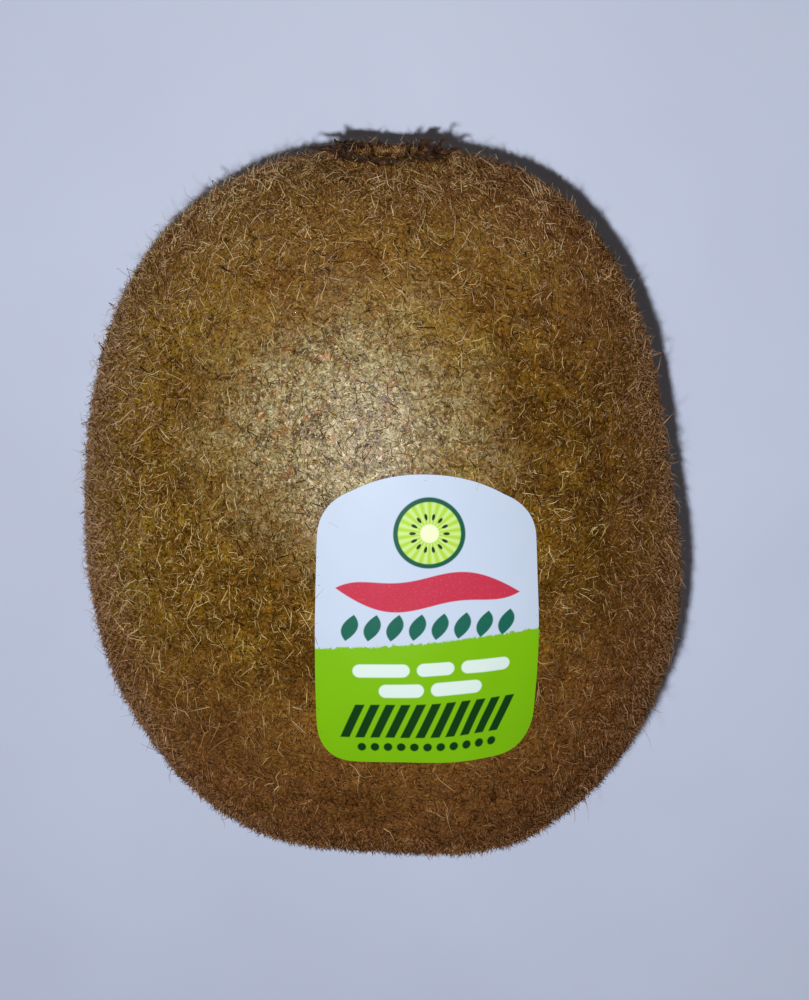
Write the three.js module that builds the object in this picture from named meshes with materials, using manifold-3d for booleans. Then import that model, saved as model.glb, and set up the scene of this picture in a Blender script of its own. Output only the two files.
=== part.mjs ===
// A whole kiwi fruit lying on its side, in millimetres, +Z up.
// Its long axis runs along Y: the flower end is at +Y and the stem end at -Y.
// The origin is the middle of the bottom of its bounding box.
import * as THREE from 'three';
import { mergeVertices } from 'three/addons/utils/BufferGeometryUtils.js';
import Module from 'manifold-3d';

// The body, measured from the middle of its widest belt.
const HALF_WIDTH = 27;
const HALF_HEIGHT = 24.9;
const FLOWER_END_LENGTH = 36;
const STEM_END_LENGTH = 28.7;
// Exponent of each end's profile: 2 is an ellipse, and more has squarer shoulders.
const FLOWER_END_FULLNESS = 2.68;
const STEM_END_FULLNESS = 2.5;
// Sideways sway of the long axis, by the first three powers of the distance along it.
const SWAY_UNIT = 34;
const SWAY = [-1.5, 1.04, 0.92];
// How far the flower end leans: its face turns slightly upwards.
const FLOWER_END_SLANT = 0.1;
// Low swellings of its sides. In degrees: place around from +X towards +Y, and width.
const SWELLINGS = [
  { around: -7, width: 22, height: 1.2 },
  { around: 182, width: 28, height: 0.75 },
  { around: -69, width: 14, height: 1.05 },
  { around: -117, width: 15, height: 0.7 },
];

// The fruit lies with its weight over a small flattened spot.
const REST_TILT = THREE.MathUtils.degToRad(-1.1);
const REST_SPOT_DEPTH = 0.45;

// Flower end: a shallow dip inside the low collar that once carried the petals.
const COLLAR_RADIUS = 4.2;
const COLLAR_WIDTH = 1.1;
const COLLAR_HEIGHT = 0.5;
const STYLE_DIP_RADIUS = 2.6;
const STYLE_DIP_DEPTH = 0.35;

// Stem end: a wide dimple with the woody scar that the stem left.
const DIMPLE_RADIUS = 5.0;
const DIMPLE_DEPTH = 1.5;
const SCAR_RADIUS = 2.7;
const SCAR_HEIGHT = 1.2;
const SCAR_RIDGES = 9;
const SCAR_RIDGE_HEIGHT = 0.15;
const EDGE_SOFTNESS = 0.7;

// Facets of the body: rings close together near the ends, wider over the middle.
const MERIDIANS = 56;
const CLOSE_RING_STEP = THREE.MathUtils.degToRad(1.1);
const WIDE_RING_STEP = THREE.MathUtils.degToRad(4.5);
const RING_GROWTH = 0.16;

// Pieces that touch keep this gap.
const GAP = 0.3;

// Dried ring at the flower end, with the withered styles and filaments that stand on it.
const RING_THICKNESS = 1.3;
const RING_UNEVENNESS = 0.4;
const RING_STEPS = 44;
const RING_SIDES = 8;
const SPIKE_SIDES = 5;
const SPIKE_STEPS = 3;
const SPIKE_TIP_RADIUS = 0.12;
// The longest spikes. In degrees: place around the ring from +X towards +Z, lean out from the axis,
// sweep round from straight outwards, and curl. In millimetres: length and radius at the root.
const LONG_SPIKES = [
  { around: 4, lean: 76, sweep: -12, curl: 8, length: 3.3, radius: 0.36 },
  { around: 22, lean: 38, sweep: 20, curl: -10, length: 2.2, radius: 0.3 },
  { around: 72, lean: 10, sweep: -50, curl: 12, length: 3.0, radius: 0.38 },
  { around: 152, lean: 34, sweep: 65, curl: 30, length: 2.3, radius: 0.44 },
  { around: 176, lean: 78, sweep: 8, curl: 6, length: 3.1, radius: 0.4 },
  { around: 231, lean: 62, sweep: -30, curl: 24, length: 2.6, radius: 0.34 },
  { around: 297, lean: 68, sweep: 28, curl: -6, length: 2.9, radius: 0.42 },
];
const SHORT_SPIKES = 21;
const SHORT_SPIKE_SEED = 31;
const UP = new THREE.Vector3(0, 1, 0);

// Paper label on the upper side, as cut flat: an arched top and rounded lower corners.
const LABEL_WIDTH = 19.4;
const LABEL_LENGTH = 25.9;
const LABEL_THICKNESS = 0.3;
const LABEL_ARCH_RISE = 2.6;
const LABEL_SHOULDER_RADIUS = 2.6;
const LABEL_CORNER_RADIUS = 3.6;
const LABEL_RIM_STEPS = 60;
const LABEL_BANDS = 6;
// Where its middle lies, as angles from straight up, and the radius that it wraps each way.
const LABEL_ACROSS = THREE.MathUtils.degToRad(9.9);
const LABEL_ALONG = THREE.MathUtils.degToRad(-2.7);
const LABEL_WRAP_ACROSS = 24.85;
const LABEL_WRAP_ALONG = 25.8;

const skinMaterial = new THREE.MeshStandardMaterial({ color: 0x7a5a2c, roughness: 0.85, metalness: 0 });
const driedMaterial = new THREE.MeshStandardMaterial({ color: 0x3b2517, roughness: 0.9, metalness: 0 });
const paperMaterial = new THREE.MeshStandardMaterial({ color: 0xcddbf0, roughness: 0.4, metalness: 0 });

// Seeded random numbers from 0 to 1.
function seededRandom(seed) {
  let state = seed;
  return () => {
    state = (state + 0x6d2b79f5) | 0;
    let mixed = Math.imul(state ^ (state >>> 15), 1 | state);
    mixed = (mixed + Math.imul(mixed ^ (mixed >>> 7), 61 | mixed)) ^ mixed;
    return ((mixed ^ (mixed >>> 14)) >>> 0) / 4294967296;
  };
}

// 1 inside the radius and 0 outside it, with a soft edge.
function disc(distance, radius) {
  return 1 - THREE.MathUtils.smoothstep(distance, radius - EDGE_SOFTNESS, radius + EDGE_SOFTNESS);
}

function bell(offset, width) {
  return Math.exp(-((offset / width) ** 2));
}

// Height of the two ends' relief over the smooth body, in a direction from the middle.
function endRelief(direction) {
  const fromFlower = Math.acos(THREE.MathUtils.clamp(direction.y, -1, 1)) * FLOWER_END_LENGTH;
  const fromStem = Math.acos(THREE.MathUtils.clamp(-direction.y, -1, 1)) * STEM_END_LENGTH;
  const around = Math.atan2(direction.z, direction.x);
  const flower =
    COLLAR_HEIGHT * bell(fromFlower - COLLAR_RADIUS, COLLAR_WIDTH) -
    STYLE_DIP_DEPTH * disc(fromFlower, STYLE_DIP_RADIUS);
  const ridges = SCAR_RIDGE_HEIGHT * Math.cos(SCAR_RIDGES * around) * Math.min(fromStem / SCAR_RADIUS, 1);
  const stem =
    (SCAR_HEIGHT + ridges) * disc(fromStem, SCAR_RADIUS) - DIMPLE_DEPTH * bell(fromStem, DIMPLE_RADIUS);
  return flower + stem;
}

// Height of the sides' swellings over the smooth body, in a direction from the middle.
function sideRelief({ x, y, z }) {
  const place = THREE.MathUtils.radToDeg(Math.atan2(y, x));
  return SWELLINGS.reduce((relief, { around, width, height }) => {
    const apart = THREE.MathUtils.euclideanModulo(place - around + 180, 360) - 180;
    return relief + height * bell(apart, width) * (1 - z ** 2);
  }, 0);
}

// A point of the skin, or the given height over it, in a unit direction from the middle.
function overSkin(direction, height = 0) {
  const { x, y, z } = direction;
  const isFlowerEnd = y > 0;
  const length = isFlowerEnd ? FLOWER_END_LENGTH : STEM_END_LENGTH;
  const fullness = isFlowerEnd ? FLOWER_END_FULLNESS : STEM_END_FULLNESS;
  const girth = Math.hypot(x / HALF_WIDTH, z / HALF_HEIGHT);
  const radius = ((Math.abs(y) / length) ** fullness + girth ** fullness) ** (-1 / fullness);
  const relief = endRelief(direction) + sideRelief(direction);
  const point = direction.clone().multiplyScalar(radius + relief + height);
  const along = point.y / SWAY_UNIT;
  SWAY.forEach((sway, power) => {
    point.x += sway * along ** (power + 1);
  });
  if (along > 0) point.y -= FLOWER_END_SLANT * point.z * along ** 2;
  return point.applyAxisAngle(new THREE.Vector3(1, 0, 0), REST_TILT);
}

// A direction from its angle to +Y and its angle around Y, from +X towards +Z.
function polarDirection(fromY, around) {
  return new THREE.Vector3(
    Math.sin(fromY) * Math.cos(around), Math.cos(fromY), Math.sin(fromY) * Math.sin(around));
}

// A closed surface between two end points, from rings with the same number of points in each.
function ringsToGeometry(start, rings, end) {
  const size = rings[0].length;
  const points = [start, ...rings.flat(), end];
  const last = points.length - 1;
  const at = (ring, step) => 1 + ring * size + (step % size);
  const faces = [];
  for (let step = 0; step < size; step++) {
    faces.push(0, at(0, step + 1), at(0, step));
    faces.push(last, at(rings.length - 1, step), at(rings.length - 1, step + 1));
    for (let ring = 0; ring + 1 < rings.length; ring++) {
      faces.push(at(ring, step), at(ring, step + 1), at(ring + 1, step));
      faces.push(at(ring, step + 1), at(ring + 1, step + 1), at(ring + 1, step));
    }
  }
  const geometry = new THREE.BufferGeometry().setFromPoints(points);
  geometry.setIndex(faces);
  return geometry;
}

function ringAngles() {
  const angles = [];
  let angle = CLOSE_RING_STEP;
  while (angle < Math.PI - CLOSE_RING_STEP / 2) {
    angles.push(angle);
    const fromEnd = Math.min(angle, Math.PI - angle);
    angle += THREE.MathUtils.clamp(RING_GROWTH * fromEnd, CLOSE_RING_STEP, WIDE_RING_STEP);
  }
  return angles;
}

function makeFruit() {
  const rings = ringAngles().map((fromY) => Array.from({ length: MERIDIANS }, (_, step) =>
    overSkin(polarDirection(fromY, (2 * Math.PI * (step + 0.5)) / MERIDIANS))));
  const flowerTip = overSkin(polarDirection(0, 0));
  const stemTip = overSkin(polarDirection(Math.PI, 0));
  const lowest = Math.min(...rings.flat().map((point) => point.z));
  const floor = lowest + REST_SPOT_DEPTH;
  for (const point of rings.flat()) point.z = Math.max(point.z, floor);
  return new THREE.Mesh(ringsToGeometry(flowerTip, rings, stemTip), skinMaterial);
}

// A tapering, curling spike with blunt ends that stands on the ring at its root.
function makeSpike(spike, root, outward) {
  const { degToRad, lerp } = THREE.MathUtils;
  const lean = degToRad(spike.lean);
  const swept = outward.clone().applyAxisAngle(UP, degToRad(spike.sweep));
  const direction = UP.clone().multiplyScalar(Math.cos(lean)).addScaledVector(swept, Math.sin(lean));
  direction.normalize();
  const hinge = new THREE.Vector3().crossVectors(direction, swept).normalize();
  const rings = [];
  const spine = root.clone();
  for (let step = 0; step <= SPIKE_STEPS; step++) {
    const radius = lerp(spike.radius, SPIKE_TIP_RADIUS, step / SPIKE_STEPS);
    const side = new THREE.Vector3().crossVectors(direction, hinge);
    rings.push(Array.from({ length: SPIKE_SIDES }, (_, corner) => {
      const around = (2 * Math.PI * corner) / SPIKE_SIDES;
      return spine.clone()
        .addScaledVector(hinge, radius * Math.cos(around))
        .addScaledVector(side, radius * Math.sin(around));
    }));
    if (step < SPIKE_STEPS) {
      spine.addScaledVector(direction, spike.length / SPIKE_STEPS);
      direction.applyAxisAngle(hinge, degToRad(spike.curl) / SPIKE_STEPS);
    }
  }
  return ringsToGeometry(root, rings, spine.addScaledVector(direction, SPIKE_TIP_RADIUS));
}

// The uneven dried ring, its middle line RING_THICKNESS / 2 + GAP over the collar.
function ringCentre(around) {
  return overSkin(polarDirection(COLLAR_RADIUS / FLOWER_END_LENGTH, around), GAP + RING_THICKNESS / 2);
}

function makeRing(random) {
  const stepAngle = (2 * Math.PI) / RING_STEPS;
  const centres = Array.from({ length: RING_STEPS }, (_, step) => ringCentre(step * stepAngle));
  const middle = new THREE.Vector3();
  for (const centre of centres) middle.addScaledVector(centre, 1 / RING_STEPS);
  const points = [];
  const faces = [];
  centres.forEach((centre, step) => {
    const outward = centre.clone().sub(middle).normalize();
    const thickness = RING_THICKNESS * (1 - RING_UNEVENNESS * random());
    for (let corner = 0; corner < RING_SIDES; corner++) {
      const turn = (2 * Math.PI * corner) / RING_SIDES;
      points.push(centre.clone()
        .addScaledVector(outward, (thickness / 2) * Math.cos(turn))
        .addScaledVector(UP, (thickness / 2) * Math.sin(turn)));
      const next = (step + 1) % RING_STEPS;
      const a = step * RING_SIDES + corner;
      const b = step * RING_SIDES + ((corner + 1) % RING_SIDES);
      const c = next * RING_SIDES + corner;
      const d = next * RING_SIDES + ((corner + 1) % RING_SIDES);
      faces.push(a, b, c, b, d, c);
    }
  });
  const geometry = new THREE.BufferGeometry().setFromPoints(points);
  geometry.setIndex(faces);
  return { geometry, middle };
}

const wasm = await Module();
wasm.setup();

function toSolid(geometry) {
  const merged = mergeVertices(geometry);
  return new wasm.Manifold(new wasm.Mesh({
    numProp: 3,
    vertProperties: new Float32Array(merged.attributes.position.array),
    triVerts: new Uint32Array(merged.index.array),
  }));
}

function toGeometry(solid) {
  const mesh = solid.getMesh();
  const geometry = new THREE.BufferGeometry();
  geometry.setAttribute('position', new THREE.BufferAttribute(mesh.vertProperties, 3));
  geometry.setIndex(new THREE.BufferAttribute(mesh.triVerts, 1));
  return geometry;
}

// The dried ring with all its spikes, joined in one body.
function makeDriedStyles() {
  const random = seededRandom(SHORT_SPIKE_SEED);
  const ring = makeRing(random);
  const shortSpikes = Array.from({ length: SHORT_SPIKES }, (_, index) => ({
    around: (360 * (index + 0.7 * random())) / SHORT_SPIKES,
    lean: 20 + 55 * random(),
    sweep: 130 * (random() - 0.5),
    curl: 60 * (random() - 0.5),
    length: 1.0 + 1.3 * random() ** 2,
    radius: 0.26 + 0.22 * random(),
  }));
  let solid = toSolid(ring.geometry);
  for (const spike of [...LONG_SPIKES, ...shortSpikes]) {
    const root = ringCentre(THREE.MathUtils.degToRad(spike.around));
    const outward = root.clone().sub(ring.middle).normalize();
    solid = solid.add(toSolid(makeSpike(spike, root, outward)));
  }
  return new THREE.Mesh(toGeometry(solid), driedMaterial);
}

// The label's outline as cut flat, its middle at the origin and its arch at +Y.
function labelOutline() {
  const half = LABEL_WIDTH / 2;
  const top = LABEL_LENGTH / 2;
  const shoulder = top - LABEL_ARCH_RISE;
  const corner = LABEL_CORNER_RADIUS;
  const round = LABEL_SHOULDER_RADIUS;
  const outline = new THREE.Shape();
  outline.moveTo(half, 0);
  outline.lineTo(half, shoulder - round);
  outline.quadraticCurveTo(half, shoulder, half - round, shoulder + round / 3);
  outline.quadraticCurveTo(half / 3, top, 0, top);
  outline.quadraticCurveTo(-half / 3, top, -half + round, shoulder + round / 3);
  outline.quadraticCurveTo(-half, shoulder, -half, shoulder - round);
  outline.lineTo(-half, corner - top);
  outline.quadraticCurveTo(-half, -top, corner - half, -top);
  outline.lineTo(half - corner, -top);
  outline.quadraticCurveTo(half, -top, half, corner - top);
  outline.closePath();
  return outline.getSpacedPoints(LABEL_RIM_STEPS).slice(0, LABEL_RIM_STEPS);
}

// A point of the label over the skin, from its place on the flat label.
function overLabelledSkin(across, along, height) {
  const direction = new THREE.Vector3(
    Math.tan(LABEL_ACROSS + across / LABEL_WRAP_ACROSS),
    Math.tan(LABEL_ALONG + along / LABEL_WRAP_ALONG),
    1,
  ).normalize();
  return overSkin(direction, height);
}

function makeLabel() {
  const outline = labelOutline();
  const bands = Array.from({ length: LABEL_BANDS }, (_, band) => (band + 1) / LABEL_BANDS);
  const layer = (share, height) =>
    outline.map((point) => overLabelledSkin(share * point.x, share * point.y, height));
  const top = GAP + LABEL_THICKNESS;
  const rings = [
    ...bands.map((share) => layer(share, top)),
    ...bands.toReversed().map((share) => layer(share, GAP)),
  ].map((ring) => ring.toReversed());
  const geometry = ringsToGeometry(overLabelledSkin(0, 0, top), rings, overLabelledSkin(0, 0, GAP));
  return new THREE.Mesh(geometry, paperMaterial);
}

const kiwi = new THREE.Group();
const parts = { fruit: makeFruit(), dried_styles: makeDriedStyles(), fruit_label: makeLabel() };
for (const [name, mesh] of Object.entries(parts)) {
  mesh.name = name;
  kiwi.add(mesh);
}
const box = new THREE.Box3().setFromObject(kiwi);
const middle = box.getCenter(new THREE.Vector3());
kiwi.position.set(-middle.x, -middle.y, -box.min.z);

export default kiwi;
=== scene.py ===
import math
from functools import reduce

import bmesh
import bpy
import numpy as np
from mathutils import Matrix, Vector, noise


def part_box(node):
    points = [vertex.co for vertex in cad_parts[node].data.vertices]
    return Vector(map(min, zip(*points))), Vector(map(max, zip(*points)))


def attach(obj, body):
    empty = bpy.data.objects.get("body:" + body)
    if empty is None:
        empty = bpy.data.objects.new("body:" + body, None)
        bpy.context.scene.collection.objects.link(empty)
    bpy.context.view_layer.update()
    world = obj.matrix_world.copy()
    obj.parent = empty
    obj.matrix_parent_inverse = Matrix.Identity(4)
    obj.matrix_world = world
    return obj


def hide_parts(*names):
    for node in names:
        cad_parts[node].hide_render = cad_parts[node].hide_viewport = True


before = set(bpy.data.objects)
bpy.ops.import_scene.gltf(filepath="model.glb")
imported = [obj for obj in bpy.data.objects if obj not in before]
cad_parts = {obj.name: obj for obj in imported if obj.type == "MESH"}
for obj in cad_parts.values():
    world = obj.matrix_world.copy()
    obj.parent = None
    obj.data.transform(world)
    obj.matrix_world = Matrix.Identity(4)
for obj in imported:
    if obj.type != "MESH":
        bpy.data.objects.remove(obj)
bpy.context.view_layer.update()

# The skin. A kiwi fruit grows as one body of flesh in a thin, tough, olive brown skin, with a shallow
# dip and collar at the flower end and a woody scar in a dimple at the stem end. Its form follows one
# rule, worked out here in millimetres from the middle of the widest belt.
MM = 0.001
HALF_WIDTH = 27.0
HALF_HEIGHT = 24.9
FLOWER_END_LENGTH = 36.0
STEM_END_LENGTH = 28.7
FLOWER_END_FULLNESS = 2.68
STEM_END_FULLNESS = 2.5
SWAY_UNIT = 34
SWAY = (-1.5, 1.04, 0.92)
FLOWER_END_SLANT = 0.1
SWELLINGS = ((-7, 22, 1.2), (182, 28, 0.75), (-69, 14, 1.05), (-117, 15, 0.7))
REST_TILT = math.radians(-1.1)
COLLAR_RADIUS, COLLAR_WIDTH, COLLAR_HEIGHT = 4.2, 1.1, 0.5
STYLE_DIP_RADIUS, STYLE_DIP_DEPTH = 2.6, 0.35
DIMPLE_RADIUS, DIMPLE_DEPTH = 5.0, 1.5
SCAR_RADIUS, SCAR_HEIGHT = 2.7, 1.2
SCAR_RIDGES, SCAR_RIDGE_HEIGHT = 9, 0.15
EDGE_SOFTNESS = 0.7
SKIN_SUBDIVISIONS = 7
END_CROWDING = 0.22      # how much closer the skin's points lie at the two ends
SKIN_DEPTH = 0.12        # the skin lies this far under the fruit's hairy outline
LUMP_SPACING, LUMP_HEIGHT = 6.0, 0.14
PIMPLE_SPACING, PIMPLE_HEIGHT = 1.1, 0.05
TUFT_HEIGHT = 0.2        # the pimples carry thick tufts towards the stem end
STEMWARD, FLOWERWARD = (6.0, -26.0), (17.0, 31.0)    # along: each end's look begins and is full


def smooth_step(low, high, value):
    share = np.clip((value - low) / (high - low), 0, 1)
    return share * share * (3 - 2 * share)


def disc(distance, radius):
    return 1 - smooth_step(radius - EDGE_SOFTNESS, radius + EDGE_SOFTNESS, distance)


def from_flower_end(directions):
    return np.arccos(np.clip(directions[:, 1], -1, 1)) * FLOWER_END_LENGTH


def from_stem_end(directions):
    return np.arccos(np.clip(-directions[:, 1], -1, 1)) * STEM_END_LENGTH


def end_relief(directions):
    flower, stem = from_flower_end(directions), from_stem_end(directions)
    around = np.arctan2(directions[:, 2], directions[:, 0])
    ridges = SCAR_RIDGE_HEIGHT * np.cos(SCAR_RIDGES * around) * np.minimum(stem / SCAR_RADIUS, 1)
    collar = COLLAR_HEIGHT * np.exp(-(((flower - COLLAR_RADIUS) / COLLAR_WIDTH) ** 2))
    scar = (SCAR_HEIGHT + ridges) * disc(stem, SCAR_RADIUS)
    dimple = DIMPLE_DEPTH * np.exp(-((stem / DIMPLE_RADIUS) ** 2))
    return collar - STYLE_DIP_DEPTH * disc(flower, STYLE_DIP_RADIUS) + scar - dimple


def side_relief(directions):
    """Low swellings of the sides, each given by its place around and width in degrees and its height."""
    x, y, z = directions.T
    place = np.degrees(np.arctan2(y, x))
    relief = 0
    for around, width, height in SWELLINGS:
        apart = (place - around + 180) % 360 - 180
        relief = relief + height * np.exp(-((apart / width) ** 2)) * (1 - z ** 2)
    return relief


def over_skin(directions, height=0.0):
    """Points over the smooth skin, in millimetres from the body's middle, for unit directions."""
    x, y, z = directions.T
    length = np.where(y > 0, FLOWER_END_LENGTH, STEM_END_LENGTH)
    fullness = np.where(y > 0, FLOWER_END_FULLNESS, STEM_END_FULLNESS)
    girth = np.hypot(x / HALF_WIDTH, z / HALF_HEIGHT)
    radius = ((np.abs(y) / length) ** fullness + girth ** fullness) ** (-1 / fullness)
    points = directions * (radius + end_relief(directions) + side_relief(directions) + height)[:, None]
    along = points[:, 1] / SWAY_UNIT
    points[:, 0] += sum(sway * along ** (power + 1) for power, sway in enumerate(SWAY))
    points[:, 1] -= FLOWER_END_SLANT * points[:, 2] * np.where(along > 0, along, 0) ** 2
    _, y, z = points.T
    lifted = y * math.sin(REST_TILT) + z * math.cos(REST_TILT)
    points[:, 1] = y * math.cos(REST_TILT) - z * math.sin(REST_TILT)
    points[:, 2] = lifted
    return points


def noise_at(points, spacing, seed):
    """Smooth noise from about -1 to 1, with its lumps the given spacing apart."""
    moved = Vector((seed * 17.3, seed * -9.1, seed * 5.7))
    return np.array([noise.noise(Vector(point) / spacing + moved) for point in points])


def unit(vectors):
    return vectors / np.linalg.norm(vectors, axis=1, keepdims=True)


def give_attributes(mesh, **fields):
    for name, values in fields.items():
        mesh.attributes.new(name, "FLOAT", "POINT").data.foreach_set("value", np.asarray(values, np.float32))


def placed(name, data):
    """A new object for a mesh, a lamp or a camera, at the origin."""
    thing = bpy.data.objects.new(name, data)
    bpy.context.collection.objects.link(thing)
    return thing


ball = bmesh.new()
bmesh.ops.create_icosphere(ball, subdivisions=SKIN_SUBDIVISIONS, radius=1)
directions = unit(np.array([vertex.co[:] for vertex in ball.verts]))
polar = np.arccos(np.clip(directions[:, 1], -1, 1))
polar -= END_CROWDING * np.sin(2 * polar)
side = unit(directions[:, [0, 2]] + [[1e-12, 0]])
directions = np.column_stack([np.sin(polar) * side[:, 0], np.cos(polar), np.sin(polar) * side[:, 1]])

smooth_skin = over_skin(directions)
fruit_low, fruit_high = (np.array(corner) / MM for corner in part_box("fruit"))
to_frame = (fruit_low + fruit_high - smooth_skin.min(0) - smooth_skin.max(0)) / 2
to_frame[2] = fruit_high[2] - smooth_skin[:, 2].max()

lumps = LUMP_HEIGHT * noise_at(smooth_skin, LUMP_SPACING, 1)
across_skin, along_skin, _ = smooth_skin.T
stemward, flowerward = (smooth_step(*reach, along_skin) for reach in (STEMWARD, FLOWERWARD))
pimples = (PIMPLE_HEIGHT + TUFT_HEIGHT * stemward) * noise_at(smooth_skin, PIMPLE_SPACING, 2)
skin_points = over_skin(directions, lumps + pimples - SKIN_DEPTH) + to_frame
skin_points[:, 2] = np.maximum(skin_points[:, 2], 0)
for vertex, point in zip(ball.verts, skin_points):
    vertex.co = point * MM
bmesh.ops.recalc_face_normals(ball, faces=ball.faces)
skin_mesh = bpy.data.meshes.new("fruit_skin")
ball.to_mesh(skin_mesh)
ball.free()
skin_mesh.shade_smooth()
skin = placed("fruit_skin", skin_mesh)

# Where the fruit was rubbed, its hairs are worn short and the skin shows through. The lamp's highlight
# falls on the same place, and the skin and hairs there are painted paler as a painted highlight. Round
# that place is a border where pale and dark hairs mingle.
WORN_PLACE = (-2.5, 15.5)    # across and along, in millimetres from the body's middle
WORN_REACH = (13.0, 11.5)
WORN_EDGE, BORDER_START, BORDER_END = (0.35, 1.3), (0.7, 1.3), (2.6, 1.6)    # in reaches
worn_ring = np.hypot((across_skin - WORN_PLACE[0]) / WORN_REACH[0],
                     (along_skin - WORN_PLACE[1]) / WORN_REACH[1])
worn_ring += 0.25 * noise_at(smooth_skin, 5.0, 3)
upper = directions[:, 2] > 0
worn = (1 - smooth_step(*WORN_EDGE, worn_ring)) * upper
border = smooth_step(*BORDER_START, worn_ring) * smooth_step(*BORDER_END, worn_ring) * upper
woody = disc(from_stem_end(directions), SCAR_RADIUS + 0.2)
sideward = smooth_step(0.8, 0.25, directions[:, 2])
leftward, rightward = (smooth_step(2, 24, sign * across_skin) for sign in (-1, 1))
redness = 0.95 * stemward + 0.7 * flowerward + 0.2 * sideward + 0.3 * rightward
redness += 0.2 * noise_at(smooth_skin, 6.0, 9) - 0.3 * worn - 0.3 * border
redness = np.clip(redness, 0, 1)
# The tone is partly random and partly painted light and shade: the flower end, the left side and the rims are
# painted lighter, the rims as a painted sheen, and the stem end and the right side darker.
tone = 0.45 + 0.09 * flowerward - 0.19 * stemward - 0.12 * rightward + 0.07 * leftward + 0.12 * sideward
tone += 0.12 * noise_at(smooth_skin, 9.0, 7) + 0.06 * noise_at(smooth_skin, 3.5, 5)
give_attributes(skin_mesh, worn=worn, woody=woody, tone=tone, redness=redness)


def connect(tree, source, socket):
    if isinstance(source, bpy.types.NodeSocket):
        tree.links.new(source, socket)
    else:
        socket.default_value = source


def add_node(tree, kind, *sources, into=None, **settings):
    """A node with its settings, its first inputs in order from sources and others by name from into."""
    node = tree.nodes.new(kind)
    for name, value in settings.items():
        setattr(node, name, value)
    usable = [socket for socket in node.inputs if socket.enabled]
    for source, socket in zip(sources, usable):
        if source is not None:
            connect(tree, source, socket)
    for name, source in (into or {}).items():
        connect(tree, source, next(socket for socket in usable if socket.name == name))
    return node


def result(node, name=None):
    return next(s for s in node.outputs if s.enabled and (name is None or s.name == name))


def value_of(tree, kind, *sources, into=None, **settings):
    """A new node's first output."""
    return result(add_node(tree, kind, *sources, into=into, **settings))


def maths(tree, operation, *sources):
    return value_of(tree, "ShaderNodeMath", *sources, operation=operation)


def product(tree, *factors):
    return reduce(lambda first, second: maths(tree, "MULTIPLY", first, second), factors)


def plus(tree, *terms):
    return reduce(lambda first, second: maths(tree, "ADD", first, second), terms)


def minus(tree, value, less):
    return maths(tree, "SUBTRACT", value, less)


def power(tree, value, exponent):
    return maths(tree, "POWER", value, exponent)


def vector_maths(tree, operation, *sources):
    return value_of(tree, "ShaderNodeVectorMath", *sources, operation=operation)


def scaled(tree, vector, factor):
    return value_of(tree, "ShaderNodeVectorMath", vector, into={"Scale": factor}, operation="SCALE")


def parts(tree, vector):
    return add_node(tree, "ShaderNodeSeparateXYZ", vector).outputs


def texture_place(tree):
    return result(add_node(tree, "ShaderNodeTexCoord"), "Object")


def new_material(name):
    material = bpy.data.materials.new(name)
    material.use_nodes = True
    return material, material.node_tree, material.node_tree.nodes["Principled BSDF"]


def ramp(tree, source, *stops):
    """A colour ramp, from stops of place and linear colour."""
    node = add_node(tree, "ShaderNodeValToRGB", source)
    while len(node.color_ramp.elements) < len(stops):
        node.color_ramp.elements.new(0.5)
    for element, (place, colour) in zip(node.color_ramp.elements, stops):
        element.position = place
        element.color = (*colour, 1)
    return result(node)


def mix(tree, share, first, second, blend_type="MIX"):
    node = tree.nodes.new("ShaderNodeMix")
    node.data_type = "RGBA"
    node.blend_type = blend_type
    for source, socket in zip((share, first, second), (node.inputs[0], node.inputs[6], node.inputs[7])):
        if isinstance(source, tuple):
            source = (*source, 1)
        connect(tree, source, socket)
    return node.outputs[2]


def fine_noise(tree, place, spacing, detail=2.0, roughness=0.5):
    """Noise on the object's own coordinates, with its grains the given millimetres apart."""
    return value_of(tree, "ShaderNodeTexNoise", into={
        "Vector": place, "Scale": 1 / (spacing * MM), "Detail": detail, "Roughness": roughness})


def roughen(tree, shader, strength, depth, height):
    """Relief too fine for the mesh, its depth in millimetres."""
    bump = add_node(tree, "ShaderNodeBump", into={
        "Strength": strength, "Distance": depth * MM, "Height": height})
    tree.links.new(result(bump), shader.inputs["Normal"])


def set_gloss(shader, roughness, specular):
    shader.inputs["Roughness"].default_value = roughness
    shader.inputs["Specular IOR Level"].default_value = specular


def grey(level):
    return level, level, level


BLACK, WHITE = grey(0), grey(1)
OLIVE = (0.22, 0.130, 0.013)
BROWN = (0.15, 0.072, 0.006)
UMBER = (0.07, 0.030, 0.003)
KHAKI_AND_HIGHLIGHT = (0.38, 0.33, 0.18)
MOSS = (0.21, 0.147, 0.036)
PAINTED_GLINT = (0.62, 0.57, 0.39)
RUSSET = (0.21, 0.088, 0.028)
STRAW = (0.42, 0.31, 0.12)
RUST = (0.25, 0.090, 0.018)
PORE, PORE_SPACING = (0.05, 0.022, 0.006), 0.62
WOOD = (0.16, 0.095, 0.045)
ROSY = (1.08, 0.88, 0.92)

skin_material, tree, shader = new_material("kiwi_skin")
place = texture_place(tree)
worn_here, woody_here, tone_here, red_here = (
    result(add_node(tree, "ShaderNodeAttribute", attribute_name=name), "Fac")
    for name in ("worn", "woody", "tone", "redness"))
# The skin's patches take the tone, its painted light and shade with it.
patches = plus(tree, fine_noise(tree, place, 2.6, 4, 0.6), minus(tree, tone_here, 0.5))
# Under the coat the skin is brown and painted darker, a painted shade from the hairs over it.
shaded_under_coat = ramp(tree, patches, (0.3, UMBER), (0.5, BROWN), (0.68, OLIVE))
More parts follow.
